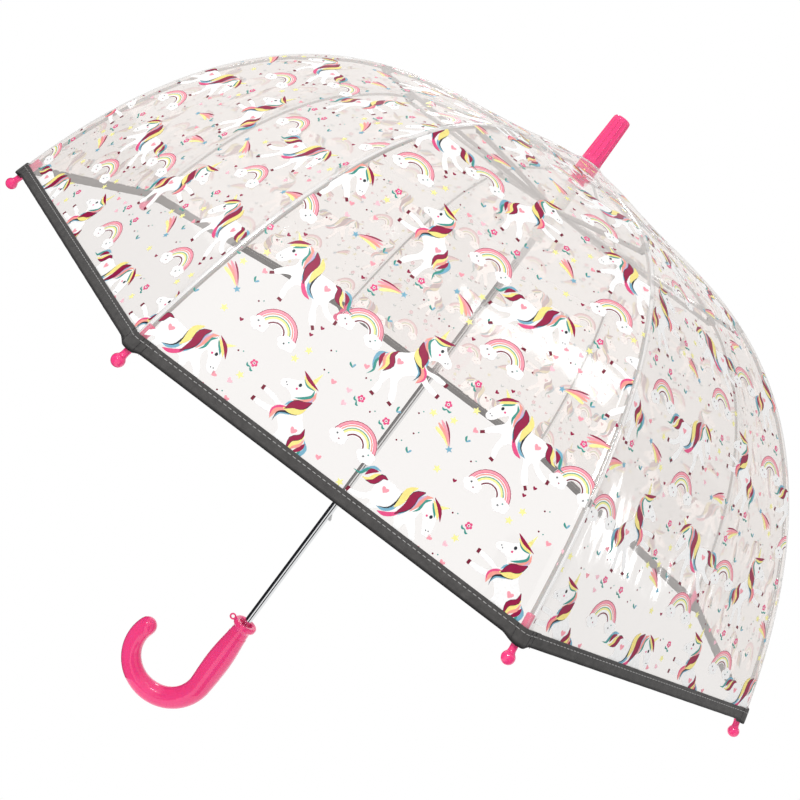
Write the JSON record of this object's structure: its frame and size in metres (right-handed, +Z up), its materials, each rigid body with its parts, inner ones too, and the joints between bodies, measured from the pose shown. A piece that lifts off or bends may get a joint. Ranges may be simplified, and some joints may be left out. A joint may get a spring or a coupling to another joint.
{
  "type": "child's umbrella",
  "caption": "Clear printed dome umbrella for a child, with sprung steel ribs, a sliding runner, pink tips and a pink hook handle. It opens and folds shut.",
  "frame": {"origin": "on the shaft's axis at the middle of the grip, where a hand holds it", "axes": "+Z up the shaft to the ferrule; the hook of the handle reaches towards -X; +Y completes the right-handed frame"},
  "size_m": [0.6728, 0.6728, 0.6555],
  "materials": {
    "pink_plastic": "glossy moulded hot pink plastic",
    "steel_tube": "bright plated steel tube",
    "steel_parts": "pressed zinc-plated steel",
    "rib_enamel": "pale grey coated spring wire",
    "milky_plastic": "milky translucent moulded plastic",
    "clear_film": "clear soft film, printed",
    "grey_binding": "dark grey sewn edge binding with corner pockets",
    "film_print": "screen-printed motifs in several colours"
  },
  "bodies": {
    "root": {"shaft_tube": "steel_tube", "hook_handle": "pink_plastic", "handle_collar": "pink_plastic", "ferrule_cap": "pink_plastic", "canopy_washer": "steel_parts", "crown": "pink_plastic", "crown_wire": "steel_parts"},
    "runner": {"runner_sleeve": "milky_plastic", "runner_wire": "steel_parts"},
    "top_catch": {"top_catch": "steel_parts"},
    "bottom_catch": {"bottom_catch": "steel_parts"},
    "rib_1": {"rib_inner_1": "rib_enamel"},
    "rib_end_1": {"rib_outer_1": "rib_enamel", "tip_cap_1": "pink_plastic"},
    "stretcher_1": {"stretcher_1": "steel_parts"},
    "panel_1": {"panel_inner_1": "clear_film"},
    "panel_end_1": {"panel_outer_1": "clear_film"},
    "rib_2": {"rib_inner_2": "rib_enamel"},
    "rib_end_2": {"rib_outer_2": "rib_enamel", "tip_cap_2": "pink_plastic"},
    "stretcher_2": {"stretcher_2": "steel_parts"},
    "panel_2": {"panel_inner_2": "clear_film"},
    "panel_end_2": {"panel_outer_2": "clear_film"},
    "rib_3": {"rib_inner_3": "rib_enamel"},
    "rib_end_3": {"rib_outer_3": "rib_enamel", "tip_cap_3": "pink_plastic"},
    "stretcher_3": {"stretcher_3": "steel_parts"},
    "panel_3": {"panel_inner_3": "clear_film"},
    "panel_end_3": {"panel_outer_3": "clear_film"},
    "rib_4": {"rib_inner_4": "rib_enamel"},
    "rib_end_4": {"rib_outer_4": "rib_enamel", "tip_cap_4": "pink_plastic"},
    "stretcher_4": {"stretcher_4": "steel_parts"},
    "panel_4": {"panel_inner_4": "clear_film"},
    "panel_end_4": {"panel_outer_4": "clear_film"},
    "rib_5": {"rib_inner_5": "rib_enamel"},
    "rib_end_5": {"rib_outer_5": "rib_enamel", "tip_cap_5": "pink_plastic"},
    "stretcher_5": {"stretcher_5": "steel_parts"},
    "panel_5": {"panel_inner_5": "clear_film"},
    "panel_end_5": {"panel_outer_5": "clear_film"},
    "rib_6": {"rib_inner_6": "rib_enamel"},
    "rib_end_6": {"rib_outer_6": "rib_enamel", "tip_cap_6": "pink_plastic"},
    "stretcher_6": {"stretcher_6": "steel_parts"},
    "panel_6": {"panel_inner_6": "clear_film"},
    "panel_end_6": {"panel_outer_6": "clear_film"},
    "rib_7": {"rib_inner_7": "rib_enamel"},
    "rib_end_7": {"rib_outer_7": "rib_enamel", "tip_cap_7": "pink_plastic"},
    "stretcher_7": {"stretcher_7": "steel_parts"},
    "panel_7": {"panel_inner_7": "clear_film"},
    "panel_end_7": {"panel_outer_7": "clear_film"},
    "rib_8": {"rib_inner_8": "rib_enamel"},
    "rib_end_8": {"rib_outer_8": "rib_enamel", "tip_cap_8": "pink_plastic"},
    "stretcher_8": {"stretcher_8": "steel_parts"},
    "panel_8": {"panel_inner_8": "clear_film"},
    "panel_end_8": {"panel_outer_8": "clear_film"}
  },
  "joints": [
    {"name": "runner_slide", "type": "slide", "parent": "root", "child": "runner", "axis": [0, 0, -1], "range_m": [0, 0.303], "deforming": ["panel_inner_1", "panel_inner_2", "panel_inner_3", "panel_inner_4", "panel_inner_5", "panel_inner_6", "panel_inner_7", "panel_inner_8", "panel_outer_1", "panel_outer_2", "panel_outer_3", "panel_outer_4", "panel_outer_5", "panel_outer_6", "panel_outer_7", "panel_outer_8"]},
    {"name": "top_catch_press", "type": "slide", "parent": "root", "child": "top_catch", "axis": [-1, 0, 0], "range_m": [0, 0.0025], "stiffness_N_per_m": 400},
    {"name": "bottom_catch_press", "type": "slide", "parent": "root", "child": "bottom_catch", "axis": [-1, 0, 0], "range_m": [0, 0.0025], "stiffness_N_per_m": 400},
    {"name": "rib_fold_1", "type": "hinge", "parent": "root", "child": "rib_1", "pos_m": [0.00831, 0.00344, 0.521], "axis": [-0.3827, 0.9239, 0], "range_deg": [0, 69.11]},
    {"name": "rib_bend_1", "type": "hinge", "parent": "rib_1", "child": "rib_end_1", "pos_m": [0.22501, 0.0932, 0.45588], "axis": [-0.3827, 0.9239, 0], "range_deg": [-36.2, 0]},
    {"name": "stretcher_fold_1", "type": "hinge", "parent": "rib_1", "child": "stretcher_1", "pos_m": [0.16437, 0.06808, 0.49001], "axis": [-0.3827, 0.9239, 0], "range_deg": [-147.45, 0]},
    {"name": "panel_fold_1", "type": "hinge", "parent": "root", "child": "panel_1", "pos_m": [0.00666, 0.00666, 0.53165], "axis": [-0.7071, 0.7071, 0], "range_deg": [0, 65.71]},
    {"name": "panel_bend_1", "type": "hinge", "parent": "panel_1", "child": "panel_end_1", "pos_m": [0.16009, 0.16009, 0.45774], "axis": [-0.7071, 0.7071, 0], "range_deg": [-34.89, 0]},
    {"name": "rib_fold_2", "type": "hinge", "parent": "root", "child": "rib_2", "pos_m": [0.00344, 0.00831, 0.521], "axis": [-0.9239, 0.3827, 0], "range_deg": [0, 69.11]},
    {"name": "rib_bend_2", "type": "hinge", "parent": "rib_2", "child": "rib_end_2", "pos_m": [0.0932, 0.22501, 0.45588], "axis": [-0.9239, 0.3827, 0], "range_deg": [-36.2, 0]},
    {"name": "stretcher_fold_2", "type": "hinge", "parent": "rib_2", "child": "stretcher_2", "pos_m": [0.06808, 0.16437, 0.49001], "axis": [-0.9239, 0.3827, 0], "range_deg": [-147.45, 0]},
    {"name": "panel_fold_2", "type": "hinge", "parent": "root", "child": "panel_2", "pos_m": [0, 0.00942, 0.53165], "axis": [-1, 0, 0], "range_deg": [0, 65.71]},
    {"name": "panel_bend_2", "type": "hinge", "parent": "panel_2", "child": "panel_end_2", "pos_m": [0, 0.22641, 0.45774], "axis": [-1, 0, 0], "range_deg": [-34.89, 0]},
    {"name": "rib_fold_3", "type": "hinge", "parent": "root", "child": "rib_3", "pos_m": [-0.00344, 0.00831, 0.521], "axis": [-0.9239, -0.3827, 0], "range_deg": [0, 69.11]},
    {"name": "rib_bend_3", "type": "hinge", "parent": "rib_3", "child": "rib_end_3", "pos_m": [-0.0932, 0.22501, 0.45588], "axis": [-0.9239, -0.3827, 0], "range_deg": [-36.2, 0]},
    {"name": "stretcher_fold_3", "type": "hinge", "parent": "rib_3", "child": "stretcher_3", "pos_m": [-0.06808, 0.16437, 0.49001], "axis": [-0.9239, -0.3827, 0], "range_deg": [-147.45, 0]},
    {"name": "panel_fold_3", "type": "hinge", "parent": "root", "child": "panel_3", "pos_m": [-0.00666, 0.00666, 0.53165], "axis": [-0.7071, -0.7071, 0], "range_deg": [0, 65.71]},
    {"name": "panel_bend_3", "type": "hinge", "parent": "panel_3", "child": "panel_end_3", "pos_m": [-0.16009, 0.16009, 0.45774], "axis": [-0.7071, -0.7071, 0], "range_deg": [-34.89, 0]},
    {"name": "rib_fold_4", "type": "hinge", "parent": "root", "child": "rib_4", "pos_m": [-0.00831, 0.00344, 0.521], "axis": [-0.3827, -0.9239, 0], "range_deg": [0, 69.11]},
    {"name": "rib_bend_4", "type": "hinge", "parent": "rib_4", "child": "rib_end_4", "pos_m": [-0.22501, 0.0932, 0.45588], "axis": [-0.3827, -0.9239, 0], "range_deg": [-36.2, 0]},
    {"name": "stretcher_fold_4", "type": "hinge", "parent": "rib_4", "child": "stretcher_4", "pos_m": [-0.16437, 0.06808, 0.49001], "axis": [-0.3827, -0.9239, 0], "range_deg": [-147.45, 0]},
    {"name": "panel_fold_4", "type": "hinge", "parent": "root", "child": "panel_4", "pos_m": [-0.00942, 0, 0.53165], "axis": [0, -1, 0], "range_deg": [0, 65.71]},
    {"name": "panel_bend_4", "type": "hinge", "parent": "panel_4", "child": "panel_end_4", "pos_m": [-0.22641, 0, 0.45774], "axis": [0, -1, 0], "range_deg": [-34.89, 0]},
    {"name": "rib_fold_5", "type": "hinge", "parent": "root", "child": "rib_5", "pos_m": [-0.00831, -0.00344, 0.521], "axis": [0.3827, -0.9239, 0], "range_deg": [0, 69.11]},
    {"name": "rib_bend_5", "type": "hinge", "parent": "rib_5", "child": "rib_end_5", "pos_m": [-0.22501, -0.0932, 0.45588], "axis": [0.3827, -0.9239, 0], "range_deg": [-36.2, 0]},
    {"name": "stretcher_fold_5", "type": "hinge", "parent": "rib_5", "child": "stretcher_5", "pos_m": [-0.16437, -0.06808, 0.49001], "axis": [0.3827, -0.9239, 0], "range_deg": [-147.45, 0]},
    {"name": "panel_fold_5", "type": "hinge", "parent": "root", "child": "panel_5", "pos_m": [-0.00666, -0.00666, 0.53165], "axis": [0.7071, -0.7071, 0], "range_deg": [0, 65.71]},
    {"name": "panel_bend_5", "type": "hinge", "parent": "panel_5", "child": "panel_end_5", "pos_m": [-0.16009, -0.16009, 0.45774], "axis": [0.7071, -0.7071, 0], "range_deg": [-34.89, 0]},
    {"name": "rib_fold_6", "type": "hinge", "parent": "root", "child": "rib_6", "pos_m": [-0.00344, -0.00831, 0.521], "axis": [0.9239, -0.3827, 0], "range_deg": [0, 69.11]},
    {"name": "rib_bend_6", "type": "hinge", "parent": "rib_6", "child": "rib_end_6", "pos_m": [-0.0932, -0.22501, 0.45588], "axis": [0.9239, -0.3827, 0], "range_deg": [-36.2, 0]},
    {"name": "stretcher_fold_6", "type": "hinge", "parent": "rib_6", "child": "stretcher_6", "pos_m": [-0.06808, -0.16437, 0.49001], "axis": [0.9239, -0.3827, 0], "range_deg": [-147.45, 0]},
    {"name": "panel_fold_6", "type": "hinge", "parent": "root", "child": "panel_6", "pos_m": [0, -0.00942, 0.53165], "axis": [1, 0, 0], "range_deg": [0, 65.71]},
    {"name": "panel_bend_6", "type": "hinge", "parent": "panel_6", "child": "panel_end_6", "pos_m": [0, -0.22641, 0.45774], "axis": [1, 0, 0], "range_deg": [-34.89, 0]},
    {"name": "rib_fold_7", "type": "hinge", "parent": "root", "child": "rib_7", "pos_m": [0.00344, -0.00831, 0.521], "axis": [0.9239, 0.3827, 0], "range_deg": [0, 69.11]},
    {"name": "rib_bend_7", "type": "hinge", "parent": "rib_7", "child": "rib_end_7", "pos_m": [0.0932, -0.22501, 0.45588], "axis": [0.9239, 0.3827, 0], "range_deg": [-36.2, 0]},
    {"name": "stretcher_fold_7", "type": "hinge", "parent": "rib_7", "child": "stretcher_7", "pos_m": [0.06808, -0.16437, 0.49001], "axis": [0.9239, 0.3827, 0], "range_deg": [-147.45, 0]},
    {"name": "panel_fold_7", "type": "hinge", "parent": "root", "child": "panel_7", "pos_m": [0.00666, -0.00666, 0.53165], "axis": [0.7071, 0.7071, 0], "range_deg": [0, 65.71]},
    {"name": "panel_bend_7", "type": "hinge", "parent": "panel_7", "child": "panel_end_7", "pos_m": [0.16009, -0.16009, 0.45774], "axis": [0.7071, 0.7071, 0], "range_deg": [-34.89, 0]},
    {"name": "rib_fold_8", "type": "hinge", "parent": "root", "child": "rib_8", "pos_m": [0.00831, -0.00344, 0.521], "axis": [0.3827, 0.9239, 0], "range_deg": [0, 69.11]},
    {"name": "rib_bend_8", "type": "hinge", "parent": "rib_8", "child": "rib_end_8", "pos_m": [0.22501, -0.0932, 0.45588], "axis": [0.3827, 0.9239, 0], "range_deg": [-36.2, 0]},
    {"name": "stretcher_fold_8", "type": "hinge", "parent": "rib_8", "child": "stretcher_8", "pos_m": [0.16437, -0.06808, 0.49001], "axis": [0.3827, 0.9239, 0], "range_deg": [-147.45, 0]},
    {"name": "panel_fold_8", "type": "hinge", "parent": "root", "child": "panel_8", "pos_m": [0.00942, 0, 0.53165], "axis": [0, 1, 0], "range_deg": [0, 65.71]},
    {"name": "panel_bend_8", "type": "hinge", "parent": "panel_8", "child": "panel_end_8", "pos_m": [0.22641, 0, 0.45774], "axis": [0, 1, 0], "range_deg": [-34.89, 0]}
  ],
  "couplings": [
    {"joint": "rib_fold_1", "follows": "runner_slide", "rad_per_m": 3.978},
    {"joint": "rib_bend_1", "follows": "runner_slide", "rad_per_m": -2.0823},
    {"joint": "stretcher_fold_1", "follows": "runner_slide", "rad_per_m": -8.4905},
    {"joint": "panel_fold_1", "follows": "runner_slide", "rad_per_m": 3.7822},
    {"joint": "panel_bend_1", "follows": "runner_slide", "rad_per_m": -2.0068},
    {"joint": "rib_fold_2", "follows": "runner_slide", "rad_per_m": 3.978},
    {"joint": "rib_bend_2", "follows": "runner_slide", "rad_per_m": -2.0823},
    {"joint": "stretcher_fold_2", "follows": "runner_slide", "rad_per_m": -8.4905},
    {"joint": "panel_fold_2", "follows": "runner_slide", "rad_per_m": 3.7822},
    {"joint": "panel_bend_2", "follows": "runner_slide", "rad_per_m": -2.0068},
    {"joint": "rib_fold_3", "follows": "runner_slide", "rad_per_m": 3.978},
    {"joint": "rib_bend_3", "follows": "runner_slide", "rad_per_m": -2.0823},
    {"joint": "stretcher_fold_3", "follows": "runner_slide", "rad_per_m": -8.4905},
    {"joint": "panel_fold_3", "follows": "runner_slide", "rad_per_m": 3.7822},
    {"joint": "panel_bend_3", "follows": "runner_slide", "rad_per_m": -2.0068},
    {"joint": "rib_fold_4", "follows": "runner_slide", "rad_per_m": 3.978},
    {"joint": "rib_bend_4", "follows": "runner_slide", "rad_per_m": -2.0823},
    {"joint": "stretcher_fold_4", "follows": "runner_slide", "rad_per_m": -8.4905},
    {"joint": "panel_fold_4", "follows": "runner_slide", "rad_per_m": 3.7822},
    {"joint": "panel_bend_4", "follows": "runner_slide", "rad_per_m": -2.0068},
    {"joint": "rib_fold_5", "follows": "runner_slide", "rad_per_m": 3.978},
    {"joint": "rib_bend_5", "follows": "runner_slide", "rad_per_m": -2.0823},
    {"joint": "stretcher_fold_5", "follows": "runner_slide", "rad_per_m": -8.4905},
    {"joint": "panel_fold_5", "follows": "runner_slide", "rad_per_m": 3.7822},
    {"joint": "panel_bend_5", "follows": "runner_slide", "rad_per_m": -2.0068},
    {"joint": "rib_fold_6", "follows": "runner_slide", "rad_per_m": 3.978},
    {"joint": "rib_bend_6", "follows": "runner_slide", "rad_per_m": -2.0823},
    {"joint": "stretcher_fold_6", "follows": "runner_slide", "rad_per_m": -8.4905},
    {"joint": "panel_fold_6", "follows": "runner_slide", "rad_per_m": 3.7822},
    {"joint": "panel_bend_6", "follows": "runner_slide", "rad_per_m": -2.0068},
    {"joint": "rib_fold_7", "follows": "runner_slide", "rad_per_m": 3.978},
    {"joint": "rib_bend_7", "follows": "runner_slide", "rad_per_m": -2.0823},
    {"joint": "stretcher_fold_7", "follows": "runner_slide", "rad_per_m": -8.4905},
    {"joint": "panel_fold_7", "follows": "runner_slide", "rad_per_m": 3.7822},
    {"joint": "panel_bend_7", "follows": "runner_slide", "rad_per_m": -2.0068},
    {"joint": "rib_fold_8", "follows": "runner_slide", "rad_per_m": 3.978},
    {"joint": "rib_bend_8", "follows": "runner_slide", "rad_per_m": -2.0823},
    {"joint": "stretcher_fold_8", "follows": "runner_slide", "rad_per_m": -8.4905},
    {"joint": "panel_fold_8", "follows": "runner_slide", "rad_per_m": 3.7822},
    {"joint": "panel_bend_8", "follows": "runner_slide", "rad_per_m": -2.0068}
  ]
}
